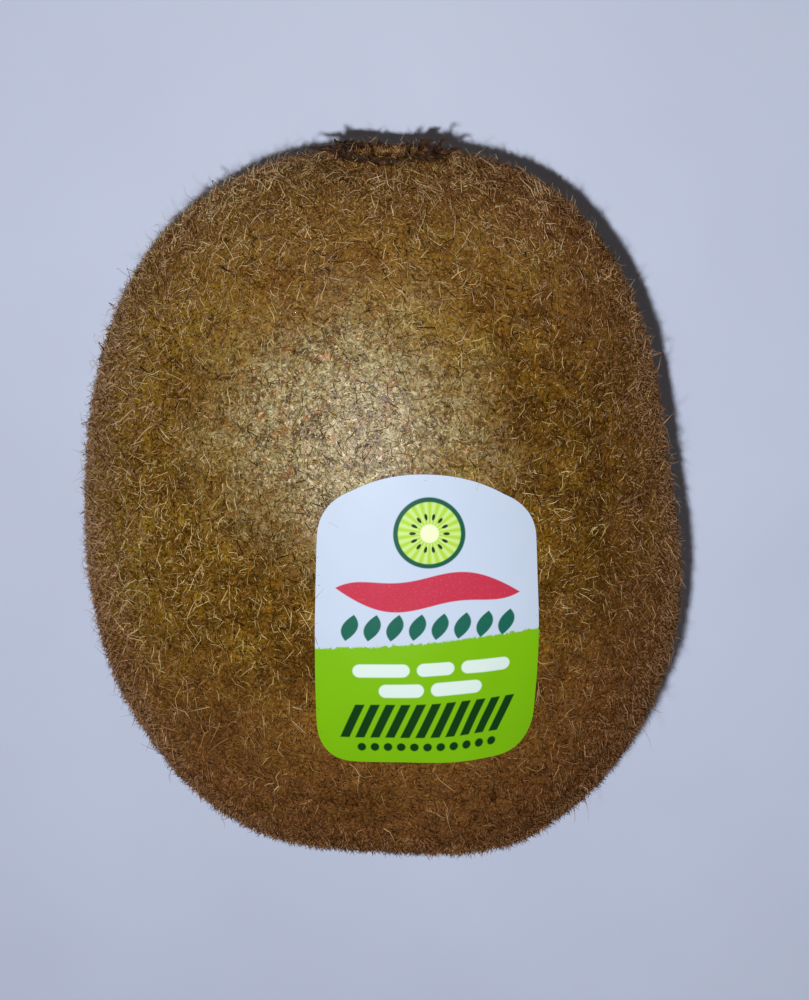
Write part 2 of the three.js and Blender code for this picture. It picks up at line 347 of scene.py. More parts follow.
# The bare skin's palest colour is partly its own khaki and partly a painted highlight.
bare = ramp(tree, fine_noise(tree, place, 1.2, 5, 0.75), (0.41, UMBER), (0.48, MOSS), (0.64, KHAKI_AND_HIGHLIGHT))
rosy = ramp(tree, fine_noise(tree, place, 1.7, 2, 0.6), (0.5, WHITE), (0.64, ROSY))
bare = mix(tree, 1.0, bare, rosy, "MULTIPLY")
shaded_under_coat = mix(tree, product(tree, red_here, 0.6), shaded_under_coat, RUSSET)
ground = mix(tree, worn_here, shaded_under_coat, bare)
rust_here = ramp(tree, fine_noise(tree, place, 1.5, 3, 0.6), (0.56, BLACK), (0.68, WHITE))
rust_share = plus(tree, product(tree, worn_here, 0.55), 0.2)
ground = mix(tree, product(tree, rust_here, rust_share), ground, RUST)


def curly_lines(spacing, lines, width, seed):
    """1 on thin lines that wander like hairs pressed flat on the skin, broken into short pieces."""
    moved = vector_maths(tree, "ADD", place, (seed * 0.013, 0, 0))
    level = maths(tree, "PINGPONG", product(tree, fine_noise(tree, moved, spacing, 1, 0.4), lines), 0.5)
    line = ramp(tree, level, (width * 0.6, WHITE), (width, BLACK))
    pieces = ramp(tree, fine_noise(tree, moved, spacing * 0.8, 2, 0.5), (0.44, BLACK), (0.54, WHITE))
    return mix(tree, 1.0, line, pieces, "MULTIPLY")


pale_lines = mix(tree, 1.0, curly_lines(0.9, 5, 0.12, 1), curly_lines(0.7, 4, 0.11, 2), "SCREEN")
# In the worn place the pale lines are painted whitish, as painted glints; elsewhere they are straw coloured.
line_colour = mix(tree, worn_here, STRAW, PAINTED_GLINT)
line_share = plus(tree, product(tree, worn_here, 0.5), 0.15)
ground = mix(tree, product(tree, pale_lines, line_share), ground, line_colour)
cells = add_node(tree, "ShaderNodeTexVoronoi", into={
    "Vector": place, "Scale": 1 / (PORE_SPACING * MM), "Randomness": 1.0})
pores = ramp(tree, result(cells, "Distance"), (0.1, WHITE), (0.22, BLACK))
ground = mix(tree, product(tree, pores, 0.6), ground, PORE)
cracks = curly_lines(2.4, 6, 0.07, 3)
ground = mix(tree, mix(tree, 1.0, cracks, grey(0.85), "MULTIPLY"), ground, PORE)
grain = ramp(tree, fine_noise(tree, place, 0.35, 3, 0.7), (0.3, grey(0.35)), (0.7, grey(1.55)))
ground = mix(tree, 1.0, ground, grain, "MULTIPLY")
wood = mix(tree, fine_noise(tree, place, 0.6, 4, 0.7), UMBER, WOOD)
tree.links.new(mix(tree, woody_here, ground, wood), shader.inputs["Base Color"])
tree.links.new(minus(tree, 1.0, product(tree, worn_here, 0.6)), shader.inputs["Roughness"])
gloss = plus(tree, product(tree, worn_here, 0.45), 0.01)
tree.links.new(gloss, shader.inputs["Specular IOR Level"])
bump_height = minus(tree, fine_noise(tree, place, 0.4, 3, 0.6), product(tree, pores, 0.5))
bump_height = plus(tree, bump_height, product(tree, pale_lines, 0.3))
roughen(tree, shader, 0.8, 0.12, bump_height)
skin_mesh.materials.append(skin_material)

# The paper label's outline, cut flat with an arched top and rounded lower corners. It is needed here
# because no hair shows through the label.
LABEL_WIDTH, LABEL_LENGTH = 19.15, 25.9
LABEL_ARCH_RISE, LABEL_SHOULDER_RADIUS, LABEL_CORNER_RADIUS = 2.3, 2.9, 3.6
LABEL_ACROSS, LABEL_ALONG = math.radians(9.55), math.radians(-2.7)
LABEL_WRAP_ACROSS, LABEL_WRAP_ALONG = 24.85, 25.8
LABEL_SLANT, LABEL_SPREAD = 0.045, 0.002
CORNER_DROP, CORNER_TILT = 0.45, 0.05
LABEL_ARCH_PULL, LABEL_RIM_STEPS = 2.4, 24


def quadratic(start, pull, end):
    share = np.linspace(0, 1, LABEL_RIM_STEPS, endpoint=False)[:, None]
    start, pull, end = map(np.array, (start, pull, end))
    return (1 - share) ** 2 * start + 2 * share * (1 - share) * pull + share ** 2 * end


def label_outline():
    half, top = LABEL_WIDTH / 2, LABEL_LENGTH / 2
    shoulder, corner, rounding = top - LABEL_ARCH_RISE, LABEL_CORNER_RADIUS, LABEL_SHOULDER_RADIUS
    neck = shoulder + rounding / 3
    stretches = [        # where each one is pulled to, if it is bent, and where it ends
        (None, (half, shoulder - rounding)),
        ((half, shoulder), (half - rounding, neck)),
        ((half / LABEL_ARCH_PULL, top), (0, top)),
        ((-half / LABEL_ARCH_PULL, top), (rounding - half, neck)),
        ((-half, shoulder), (-half, shoulder - rounding)),
        (None, (-half, corner - top)),
        ((-half, -top), (corner - half, -top)),
        (None, (half - corner, -top)),
        ((half, -top), (half, corner - top)),
    ]
    start, rim = stretches[-1][1], []
    for pull, end in stretches:
        rim.append(quadratic(start, pull or np.add(start, end) / 2, end))
        start = end
    return np.vstack(rim)


def settled(flat):
    """The flat label's points after it was pressed on: slanted, and its lower corners drawn out."""
    across, along = flat.T
    lower = np.clip(-along / (LABEL_LENGTH / 2), 0, 1)
    return np.column_stack([
        across * (1.005 - LABEL_SPREAD * along) + LABEL_SLANT * along,
        along - lower * (CORNER_DROP * (across / 8) ** 2 + CORNER_TILT * across),
    ])


def flat_place(directions):
    """A direction's place on the flat label, in millimetres, or far off it under the fruit."""
    above = np.maximum(directions[:, 2], 1e-3)
    across = (np.arctan2(directions[:, 0], above) - LABEL_ACROSS) * LABEL_WRAP_ACROSS
    along = (np.arctan2(directions[:, 1], above) - LABEL_ALONG) * LABEL_WRAP_ALONG
    return np.column_stack([across, along])


def over_labelled_skin(flat, height):
    across, along = flat.T
    aim = np.column_stack([np.tan(LABEL_ACROSS + across / LABEL_WRAP_ACROSS),
                           np.tan(LABEL_ALONG + along / LABEL_WRAP_ALONG), np.ones(len(flat))])
    return over_skin(unit(aim), height)


def inside(points, outline):
    crossings = np.zeros(len(points), int)
    for (x0, y0), (x1, y1) in zip(outline, np.roll(outline, -1, axis=0)):
        spans = (y0 > points[:, 1]) != (y1 > points[:, 1])
        with np.errstate(divide="ignore", invalid="ignore"):
            reach = x0 + (points[:, 1] - y0) * (x1 - x0) / (y1 - y0)
        crossings += spans & (points[:, 0] < reach)
    return crossings % 2 == 1


outline = label_outline()
HAIR_FREE_SHARE = 1.025      # of the label's size, which no hair grows through
under_label = inside(flat_place(directions), settled(outline) * HAIR_FREE_SHARE) & (directions[:, 2] > 0.3)

# The hairs. Every hair is a stiff, dry, golden brown thread that grew out of the skin: a dense short
# undercoat, curly hairs in it and long golden ones lying over them. They are short where the fruit was
# rubbed, and short, reddish and matted round the stem end.
LAY = (                  # where on the fruit's upper side, and which way its hairs lie there
    ((-25, 5), (-1.0, 0.2)),
    ((-14, 6), (0.5, -0.8)),
    ((-4, 22), (0.3, 0.7)),
    ((10, 27), (-0.5, 0.8)),
    ((14, 8), (0.3, 0.9)),
    ((22, -4), (0.2, -1.0)),
    ((-14, -18), (0.2, -0.8)),
    ((12, -22), (0.3, -0.7)),
)
LAY_REACH = 9.0
HUES = 6                 # columns of the hairs' map: ashen, golden, on to reddish brown, and the rims' painted sheen
COLUMN_EDGE, COLUMN_SHARE = 0.05, 0.85

lay = np.zeros_like(smooth_skin)
lay[:, 1] = 1e-3
for (x, y), (across, along) in LAY:
    pull = np.exp(-((across_skin - x) ** 2 + (along_skin - y) ** 2) / LAY_REACH ** 2)
    lay[:, 0] += across * pull
    lay[:, 1] += along * pull
lay = unit(lay)
patchy = noise_at(smooth_skin, 5.0, 4)
mound, ring_zone = (disc(from_flower_end(directions), COLLAR_RADIUS + reach) for reach in (0, 1.1))
hair_length = 1 - 0.25 * worn + 0.1 * flowerward - 0.1 * stemward + 0.15 * patchy
hair_length += 0.25 * stemward - 0.25 * rightward * (1 - stemward) + 0.35 * mound - 0.2 * ring_zone
hair_cover = np.where(under_label, 0, 1.0) * (1 - disc(from_stem_end(directions), SCAR_RADIUS))
hair_cover *= smooth_step(0.3, 1.2, skin_points[:, 2])
long_cover = hair_cover * (1 - 0.85 * worn) * (1 - 0.95 * stemward) * (1 - 0.6 * sideward)
curly_cover = hair_cover * (1 - 0.2 * worn) * (1 - 0.9 * stemward) * (1 - 0.3 * sideward)
hue = 1.3 + 2.7 * redness - 1.3 * worn - 0.5 * mound + 0.4 * noise_at(smooth_skin, 3.0, 10)
# The hairs' tint takes the skin's tone, its painted light and shade with it. Where the hairs are worn it is
# painted paler and greyer, a painted highlight.
give_attributes(
    skin_mesh,
    hair_length=hair_length,
    hair_rise=1 - 0.65 * worn + 0.2 * stemward + 0.3 * sideward + 0.3 * mound,
    coat_cover=hair_cover * (1 - 0.25 * worn),
    curly_cover=curly_cover * (1 - 0.5 * ring_zone),
    long_cover=long_cover * (1 - 0.85 * ring_zone),
    dark_cover=hair_cover * np.minimum(0.9 * worn + 0.5 * border, 1),
    hair_tint=tone + 0.24 * worn - 0.06 * mound - 0.04 * border,
    tint_swing=1.1 - 0.6 * stemward - 0.7 * sideward * (1 - stemward) + 0.6 * border,
    hair_hue=np.clip(hue, np.where(worn > 0.15, 0, 1), 3.999),
    # The rims' hairs are painted a greyer, pinker brown, a painted sheen.
    dusty=np.maximum(0.85 * sideward * (1 - 0.8 * flowerward), 0.3 * rightward * (1 - flowerward)),
)
skin_mesh.attributes.new("lay", "FLOAT_VECTOR", "POINT").data.foreach_set("vector", lay.ravel())

HAIR_INPUTS = ("Hairs per Square Millimetre", "Length", "Root Thickness", "Least Rise", "Most Rise", "Comb",
               "Tuft", "Curl", "Kink", "Tint Shift", "Tint Spread")


def named(tree, name, data_type="FLOAT"):
    return value_of(tree, "GeometryNodeInputNamedAttribute", name, data_type=data_type)


def store(tree, geometry, name, value, data_type="FLOAT", domain="POINT"):
    return value_of(tree, "GeometryNodeStoreNamedAttribute", geometry, None, name, value,
                    data_type=data_type, domain=domain)


def position_here(tree):
    return value_of(tree, "GeometryNodeInputPosition")


def joined(tree, x, y, z):
    return value_of(tree, "ShaderNodeCombineXYZ", x, y, z)


def total(tree, *vectors):
    return reduce(lambda first, second: vector_maths(tree, "ADD", first, second), vectors)


def random_number(tree, low, high, seed, step):
    return value_of(tree, "FunctionNodeRandomValue", low, high, into={"Seed": plus(tree, seed, step)},
                    data_type="FLOAT")


def random_vector(tree, seed, step):
    return value_of(tree, "FunctionNodeRandomValue", (-1, -1, -1), (1, 1, 1),
                    into={"Seed": plus(tree, seed, step)}, data_type="FLOAT_VECTOR")


def swirling_field(tree, spacing):
    """A vector field that turns smoothly over the skin, from about -1 to 1 each way."""
    field = add_node(tree, "ShaderNodeTexNoise", into={
        "Vector": position_here(tree), "Scale": 1 / spacing, "Detail": 1.0})
    centred = vector_maths(tree, "SUBTRACT", result(field, "Color"), (0.5, 0.5, 0.5))
    return scaled(tree, centred, 4.0)


def new_tree(name, inputs):
    tree = bpy.data.node_groups.new(name, "GeometryNodeTree")
    kinds = {"Surface": "Geometry", **dict.fromkeys(inputs, "Float"),
             "Cover": "String", "Seed": "Int", "Finish": "Material"}
    for label, kind in kinds.items():
        tree.interface.new_socket(label, in_out="INPUT", socket_type="NodeSocket" + kind)
    tree.interface.new_socket("Threads", in_out="OUTPUT", socket_type="NodeSocketGeometry")
    return tree, tree.nodes.new("NodeGroupInput").outputs


def scattered(tree, given, per_square_millimetre, *covers):
    density = product(tree, given[per_square_millimetre], 1 / MM ** 2, *covers)
    return add_node(tree, "GeometryNodeDistributePointsOnFaces", given["Surface"], into={
        "Density": density, "Seed": given["Seed"]}, distribute_method="RANDOM")


def thread(tree, sides, steps, tip_radius):
    """A closed cone one unit long, whose points know how far along it they are."""
    cone = value_of(tree, "GeometryNodeMeshCone", into={
        "Vertices": sides, "Side Segments": steps, "Fill Segments": 1,
        "Radius Top": tip_radius, "Radius Bottom": 0.5, "Depth": 1.0}, fill_type="NGON")
    return store(tree, cone, "along", parts(tree, position_here(tree))["Z"])


def planted(tree, points, shape, aim, size, seed):
    """The shape set on every point along its aim, with a random spin about it, as one mesh."""
    aligned = value_of(tree, "FunctionNodeAlignRotationToVector", into={"Vector": aim}, axis="Z")
    spin = value_of(tree, "FunctionNodeAxisAngleToRotation", (0, 0, 1), random_number(tree, 0, math.tau, seed, 4))
    turned = value_of(tree, "FunctionNodeRotateRotation", aligned, spin, rotation_space="LOCAL")
    grown = value_of(tree, "GeometryNodeInstanceOnPoints", points, into={
        "Instance": shape, "Rotation": turned, "Scale": size})
    return value_of(tree, "GeometryNodeRealizeInstances", grown)


def shifted(tree, threads, way, vector):
    """The threads with their points moved to a Position or by an Offset."""
    return value_of(tree, "GeometryNodeSetPosition", threads, into={way: vector})


def bent_by(tree, name, amount):
    return scaled(tree, named(tree, name, "FLOAT_VECTOR"), amount)


def finished(tree, threads, given, *spent):
    """Ends a tree: drops the attributes that are spent and gives the threads their material."""
    for name in spent:
        threads = value_of(tree, "GeometryNodeRemoveAttribute", threads, into={"Name": name})
    painted = value_of(tree, "GeometryNodeSetMaterial", threads, into={"Material": given["Finish"]})
    tree.links.new(painted, tree.nodes.new("NodeGroupOutput").inputs["Threads"])
    return tree


TUFT_SPACING, CURL_SPACING = 1.6 * MM, 0.9 * MM
TINT_GRAINS = (0.5, 1.5)     # in millimetres, of the light and dark in the coat
CURL_POWER = 1.8             # a hair bends most near its tip
MAP_NUDGE = 0.03             # keeps a width on the map for each side of a thread


def hair_tree(name, bends):
    """Hairs scattered over the skin. Each is a closed three-sided thread with the given bends."""
    tree, given = new_tree(name, HAIR_INPUTS)
    seed = given["Seed"]
    redness = named(tree, "redness")
    scatter = scattered(tree, given, "Hairs per Square Millimetre", named(tree, given["Cover"]))
    outward = result(scatter, "Normal")
    sideways = vector_maths(tree, "NORMALIZE", vector_maths(tree, "CROSS_PRODUCT", outward, (0, 1, 0)))
    upward = vector_maths(tree, "CROSS_PRODUCT", sideways, outward)
    bearing = random_number(tree, 0, math.tau, seed, 5)
    tuft = product(tree, given["Tuft"], plus(tree, redness, 1.0))
    flat = total(tree, scaled(tree, sideways, maths(tree, "COSINE", bearing)),
                 scaled(tree, upward, maths(tree, "SINE", bearing)),
                 scaled(tree, named(tree, "lay", "FLOAT_VECTOR"), given["Comb"]),
                 scaled(tree, swirling_field(tree, TUFT_SPACING), tuft))
    into_skin = vector_maths(tree, "DOT_PRODUCT", flat, outward)
    flat = vector_maths(tree, "SUBTRACT", flat, scaled(tree, outward, into_skin))
    rise = random_number(tree, given["Least Rise"], given["Most Rise"], seed, 6)
    rise = product(tree, rise, named(tree, "hair_rise"))
    aim = total(tree, vector_maths(tree, "NORMALIZE", flat), scaled(tree, outward, rise))

    own_length = product(tree, named(tree, "hair_length"), given["Length"],
                         random_number(tree, 0.5, 1.4, seed, 1))
    curl = total(tree, scaled(tree, swirling_field(tree, CURL_SPACING), 0.7),
                 scaled(tree, random_vector(tree, seed, 2), 0.7))
    fine, coarse = (value_of(tree, "ShaderNodeTexNoise", into={
        "Vector": position_here(tree), "Scale": 1 / (size * MM), "Detail": 1.0}) for size in TINT_GRAINS)
    grain = plus(tree, fine, product(tree, minus(tree, coarse, fine), redness, 1.5), -0.5)
    swing = named(tree, "tint_swing")
    grain = product(tree, grain, plus(tree, swing, product(tree, redness, 0.3)), 0.9)
    strays = product(tree, random_number(tree, -1.0, 1.0, seed, 3), given["Tint Spread"], swing, swing)
    tint = plus(tree, named(tree, "hair_tint"), given["Tint Shift"], grain, strays)
    tint = maths(tree, "MINIMUM", maths(tree, "MAXIMUM", tint, 0.0), 1.0)
    hue = maths(tree, "FLOOR", plus(tree, named(tree, "hair_hue"), random_number(tree, 0, 1, seed, 9)))
    # Hairs on the rims take the last column, the rims' painted sheen.
    dusty = maths(tree, "LESS_THAN", random_number(tree, 0, 1, seed, 10), named(tree, "dusty"))
    hue = maths(tree, "MAXIMUM", hue, product(tree, dusty, HUES - 1))
    curl = scaled(tree, curl, product(tree, own_length, given["Curl"]))
    points = store(tree, result(scatter, "Points"), "curl", curl, "FLOAT_VECTOR")
    for step, kink in enumerate(("first_kink", "second_kink")):
        bent = scaled(tree, random_vector(tree, seed, 7 + step), product(tree, own_length, given["Kink"]))
        points = store(tree, points, kink, bent, "FLOAT_VECTOR")
    points = store(tree, store(tree, points, "tint", tint), "hue", hue)

    x, y, _ = parts(tree, position_here(tree))
    turn = plus(tree, product(tree, maths(tree, "ARCTAN2", y, x), 1 / math.tau), 0.5)
    hair = store(tree, thread(tree, 3, bends + 1, 0.0), "turn", turn)
    size = joined(tree, given["Root Thickness"], given["Root Thickness"], own_length)
    hairs = planted(tree, points, hair, aim, size, seed)
    along, turn = named(tree, "along"), named(tree, "turn")
    hairs = shifted(tree, hairs, "Offset", total(
        tree, bent_by(tree, "curl", power(tree, along, CURL_POWER)),
        bent_by(tree, "first_kink", maths(tree, "SINE", product(tree, along, math.pi))),
        bent_by(tree, "second_kink", maths(tree, "SINE", product(tree, along, math.tau)))))
    x, y, z = parts(tree, position_here(tree))
    hairs = shifted(tree, hairs, "Position", joined(tree, x, y, maths(tree, "MAXIMUM", z, 0.0)))
    across_map = plus(tree, along, product(tree, power(tree, turn, 2), MAP_NUDGE))
    across_map = plus(tree, product(tree, across_map, COLUMN_SHARE), COLUMN_EDGE, named(tree, "hue"))
    up_map = plus(tree, named(tree, "tint"), product(tree, turn, MAP_NUDGE))
    up_map = plus(tree, product(tree, up_map, 0.9), 0.01)
    strip = joined(tree, product(tree, across_map, 1 / HUES), up_map, 0.0)
    hairs = store(tree, hairs, "OFBake", strip, "FLOAT2", "CORNER")
    hairs = value_of(tree, "GeometryNodeSetShadeSmooth", hairs)
    return finished(tree, hairs, given, "along", "turn", "tint", "hue", "curl", "first_kink", "second_kink")


hair_material, tree, shader = new_material("kiwi_hair")
strand = value_of(tree, "ShaderNodeUVMap", uv_map="OFBake")
across_map, tint, _ = parts(tree, strand)
across_map = product(tree, across_map, HUES)
column = maths(tree, "FLOOR", across_map)
red_share = maths(tree, "MAXIMUM", maths(tree, "DIVIDE", minus(tree, column, 1.0), HUES - 3), 0.0)
along = minus(tree, maths(tree, "FRACT", across_map), COLUMN_EDGE)
along = maths(tree, "DIVIDE", along, COLUMN_SHARE)
ashen = ramp(tree, tint, (0.0, (0.050, 0.024, 0.004)), (0.25, (0.13, 0.075, 0.014)),
             (0.5, (0.25, 0.185, 0.065)), (0.75, (0.48, 0.42, 0.23)), (1.0, (0.74, 0.70, 0.50)))
golden = ramp(tree, tint, (0.0, (0.050, 0.020, 0.002)), (0.25, (0.152, 0.077, 0.011)),
              (0.5, (0.30, 0.186, 0.048)), (0.75, (0.54, 0.41, 0.165)), (1.0, (0.82, 0.71, 0.42)))
reddish = ramp(tree, tint, (0.0, (0.060, 0.022, 0.006)), (0.25, (0.185, 0.075, 0.025)),
               (0.5, (0.35, 0.172, 0.074)), (0.75, (0.58, 0.38, 0.20)), (1.0, (0.82, 0.65, 0.43)))
# The rims' painted sheen: a greyer, pinker brown.
dusty = ramp(tree, tint, (0.0, (0.19, 0.092, 0.042)), (0.5, (0.34, 0.188, 0.098)), (1.0, (0.64, 0.44, 0.29)))
# Painted shade and light along each hair: the root is painted darker, as shade deep in the coat, and the tip
# paler, a painted highlight. Reddish hairs get less of it.
depth = ramp(tree, along, (0.0, (0.60, 0.50, 0.25)), (0.5, (0.95, 0.94, 0.86)), (1.0, (1.12, 1.14, 1.22)))
depth = mix(tree, product(tree, red_share, 0.6), depth, grey(0.95))
hair_colour = mix(tree, maths(tree, "LESS_THAN", column, 0.5), mix(tree, red_share, golden, reddish), ashen)
hair_colour = mix(tree, maths(tree, "GREATER_THAN", column, HUES - 1.5), hair_colour, dusty)
hair_colour = mix(tree, 1.0, hair_colour, depth, "MULTIPLY")
tree.links.new(hair_colour, shader.inputs["Base Color"])
set_gloss(shader, 0.75, 0.03)

COATS = {                # bends, cover and seed, then the tree's inputs in their order
    "undercoat_1": (0, "coat_cover", 110, 3.9, 0.6, 0.125, 0.25, 1.0, 0.3, 0.9, 0.0, 0.0, -0.14, 0.18),
    "undercoat_2": (0, "coat_cover", 220, 3.9, 0.7, 0.125, 0.25, 1.0, 0.3, 0.9, 0.0, 0.0, -0.02, 0.18),
    "curly_hairs": (1, "curly_cover", 330, 1.6, 1.0, 0.115, 0.15, 0.7, 0.4, 0.6, 0.7, 0.25, 0.12, 0.22),
    "golden_hairs": (2, "long_cover", 440, 1.15, 1.75, 0.12, 0.12, 0.5, 0.9, 0.4, 0.4, 0.12, 0.33, 0.15),
    "worn_hairs": (2, "dark_cover", 550, 1.6, 1.4, 0.12, 0.05, 0.4, 0.2, 0.3, 1.0, 0.35, -0.36, 0.2),
}
IN_MILLIMETRES = ("Length", "Root Thickness", "Width", "Thickness")
trees = {bends: hair_tree(f"hairs_with_{bends}_bends", bends) for bends in (0, 1, 2)}


def grow(source, name, tree, inputs, values, others):
    """Runs a tree on the source object and returns its result as a plain mesh object."""
    given = {label: value * MM if label in IN_MILLIMETRES else value for label, value in zip(inputs, values)}
    given.update(others)
    modifier = source.modifiers.new(name, "NODES")
    modifier.node_group = tree
    for socket in tree.interface.items_tree:
        if socket.in_out == "INPUT" and socket.name in given:
            modifier[socket.identifier] = given[socket.name]
    bpy.context.view_layer.update()
    evaluated = source.evaluated_get(bpy.context.evaluated_depsgraph_get())
    mesh = bpy.data.meshes.new_from_object(evaluated)
    source.modifiers.remove(modifier)
    mesh.name = name
    return placed(name, mesh)


hair_pieces = [
    grow(skin, name, trees[bends], HAIR_INPUTS, values, {"Cover": cover, "Seed": seed, "Finish": hair_material})
    for name, (bends, cover, seed, *values) in COATS.items()]
for piece in [skin, *hair_pieces]:
    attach(piece, "root")
    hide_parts("fruit")

# The dried styles. At the flower end stands a ring of withered, flaky, dark brown flower parts that
# never fell off. They are grown fast to the collar, and lie down on it in all directions.
RING_HEIGHT = 0.1
RING_STEPS, RING_SIDES = 90, 8
LONG_STYLES = (          # around, lean, sweep and curl in degrees, length, radius and root in millimetres
    (4, 76, -12, 8, 2.6, 0.36, 4.2),
    (22, 38, 20, -10, 2.2, 0.30, 4.2),
    (30, 14, -30, 10, 2.3, 0.34, 1.7),
    (152, 34, 65, 30, 2.3, 0.44, 4.2),
    (176, 78, 8, 6, 3.1, 0.40, 4.2),
    (231, 78, -30, 24, 2.5, 0.34, 4.2),
)
STYLE_STEPS, STYLE_SIDES = 9, 6
CLUMPS = ((8, 26), (176, 20), (232, 12), (318, 12))     # around and width, in degrees


def polar_direction(from_y, around):
    return np.column_stack([np.sin(from_y) * np.cos(around), np.cos(from_y), np.sin(from_y) * np.sin(around)])


def tube(centres, widths, heights, first, second):
    """Points of a tube of flattened rings round the centres, and its counts of rings and sides."""
    count, sides = len(centres), len(widths[0])
    turn = np.linspace(0, math.tau, sides, endpoint=False)
    points = (centres[:, None] + (widths * np.cos(turn))[:, :, None] * first[:, None]
              + (heights * np.sin(turn))[:, :, None] * second[:, None]).reshape(-1, 3)
    return points, count, sides


def wall_faces(count, sides, closed, start):
    faces = []
    for step in range(count if closed else count - 1):
        for side_step in range(sides):
            here, there = start + step * sides, start + ((step + 1) % count) * sides
            following = (side_step + 1) % sides
            faces.append((here + side_step, here + following, there + following, there + side_step))
    return faces


rng = np.random.default_rng(5)
around = np.linspace(0, math.tau, RING_STEPS, endpoint=False)
centres = over_skin(polar_direction(COLLAR_RADIUS / FLOWER_END_LENGTH + 0 * around, around), RING_HEIGHT)
behind = -np.sin(around)
centres[:, 1] -= 0.15 * smooth_step(0.2, 0.8, behind)
radial = np.column_stack([np.cos(around), 0 * around, np.sin(around)])
endward = np.tile([0.0, 1.0, 0.0], (RING_STEPS, 1))
clumpy = 0.2 * smooth_step(-0.35, 0.5, noise_at(centres, 1.3, 8))
for clump_around, clump_width in CLUMPS:
    apart = (np.degrees(around) - clump_around + 180) % 360 - 180
    clumpy += 0.8 * np.exp(-((apart / clump_width) ** 2))
jagged = 1 + 0.35 * (rng.random((RING_STEPS, RING_SIDES)) - 0.5)
clumpy -= 0.1 * smooth_step(0.3, 0.8, behind)
widths = (0.24 + 0.6 * clumpy)[:, None] * jagged
heights = (0.14 + 0.6 * clumpy)[:, None] * jagged
ring_points, count, sides = tube(centres + to_frame, widths, heights, radial, endward)
styles_points, styles_faces = [ring_points], wall_faces(count, sides, True, 0)

for style_around, lean, sweep, curl, length, thickness, from_tip in LONG_STYLES:
    style_around, lean, sweep, curl = map(math.radians, (style_around, lean, sweep, curl))
    root = over_skin(polar_direction(np.array([from_tip / FLOWER_END_LENGTH]), np.array([style_around])),
                     RING_HEIGHT)[0]
    heading = style_around + sweep
    share = np.linspace(0, 1, STYLE_STEPS)
    tilt = lean + curl * share + 0.25 * np.sin(share * 9 + style_around)
    heading = heading + 0.35 * np.sin(share * 7 + lean * 5)
    aim = np.column_stack([np.sin(tilt) * np.cos(heading), np.cos(tilt), np.sin(tilt) * np.sin(heading)])
    spine = root + np.vstack([np.zeros(3), np.cumsum(aim[:-1], axis=0)]) * length / (STYLE_STEPS - 1)
    first = unit(np.cross(aim, [0.3, 0.2, 1.0]))
    second = np.cross(aim, first)
    taper = (0.5 * (1 - share) ** 0.7 + 0.1) * thickness * (1 + 0.3 * (rng.random(STYLE_STEPS) - 0.5))
    start = sum(map(len, styles_points))
    points, count, sides = tube(spine + to_frame, np.tile(taper[:, None] * 1.3, (1, STYLE_SIDES)),
                                np.tile(taper[:, None] * 0.7, (1, STYLE_SIDES)), first, second)
    styles_points.append(points)
    styles_faces += wall_faces(count, sides, False, start)
    styles_faces.append(tuple(start + side_step for side_step in reversed(range(sides))))
    styles_faces.append(tuple(start + (count - 1) * sides + side_step for side_step in range(sides)))

styles_mesh = bpy.data.meshes.new("dried_ring")
styles_mesh.from_pydata((np.vstack(styles_points) * MM).tolist(), [], styles_faces)
cleaner = bmesh.new()
cleaner.from_mesh(styles_mesh)
bmesh.ops.recalc_face_normals(cleaner, faces=cleaner.faces)
cleaner.to_mesh(styles_mesh)
cleaner.free()
styles_mesh.shade_smooth()
dried_ring = placed("dried_ring", styles_mesh)

styles_material, tree, shader = new_material("dried_styles")
place = texture_place(tree)
dry = ramp(tree, fine_noise(tree, place, 0.7, 4, 0.65),
           (0.35, (0.012, 0.005, 0.002)), (0.5, (0.036, 0.015, 0.006)), (0.7, (0.12, 0.056, 0.024)))
tree.links.new(dry, shader.inputs["Base Color"])
set_gloss(shader, 0.6, 0.12)
roughen(tree, shader, 0.7, 0.15, fine_noise(tree, place, 0.25, 3, 0.6))
styles_mesh.materials.append(styles_material)

BIT_INPUTS = ("Bits per Square Millimetre", "Length", "Width", "Thickness", "Outward", "Endward", "Curl")
BITS = {                 # seed, then the tree's inputs in their order
    "dried_filaments": (61, 1.6, 0.75, 0.14, 0.1, 0.5, -0.05, 0.4),
    "dried_flakes": (62, 2.6, 0.6, 0.42, 0.14, 0.2, 0.1, 0.4),
}


def bit_tree():
    """Withered filaments and flakes grown from the ring, each a bent tapering strip."""
    tree, given = new_tree("dried_bits", BIT_INPUTS)
    seed = given["Seed"]
    scatter = scattered(tree, given, "Bits per Square Millimetre")
    middle = tuple(((over_skin(np.array([[0.0, 1.0, 0.0]])) + to_frame) * MM)[0])
    away = vector_maths(tree, "SUBTRACT", position_here(tree), middle)
    away = vector_maths(tree, "NORMALIZE", vector_maths(tree, "MULTIPLY", away, (1, 0, 1)))
    spread = vector_maths(tree, "MULTIPLY", random_vector(tree, seed, 1), (1, 0.3, 1))
    aim = total(tree, spread, scaled(tree, away, given["Outward"]),
                scaled(tree, joined(tree, 0.0, 1.0, 0.0), given["Endward"]))
    own_length = product(tree, given["Length"], random_number(tree, 0.4, 1.4, seed, 2))
    curl = scaled(tree, random_vector(tree, seed, 3), product(tree, own_length, given["Curl"]))
    points = store(tree, result(scatter, "Points"), "curl", curl, "FLOAT_VECTOR")
    width = product(tree, given["Width"], random_number(tree, 0.5, 1.5, seed, 5))
    size = joined(tree, width, given["Thickness"], own_length)
    bits = planted(tree, points, thread(tree, 5, 4, 0.12), aim, size, seed)
    bend = bent_by(tree, "curl", power(tree, named(tree, "along"), 2.0))
    return finished(tree, shifted(tree, bits, "Offset", bend), given, "along", "curl")


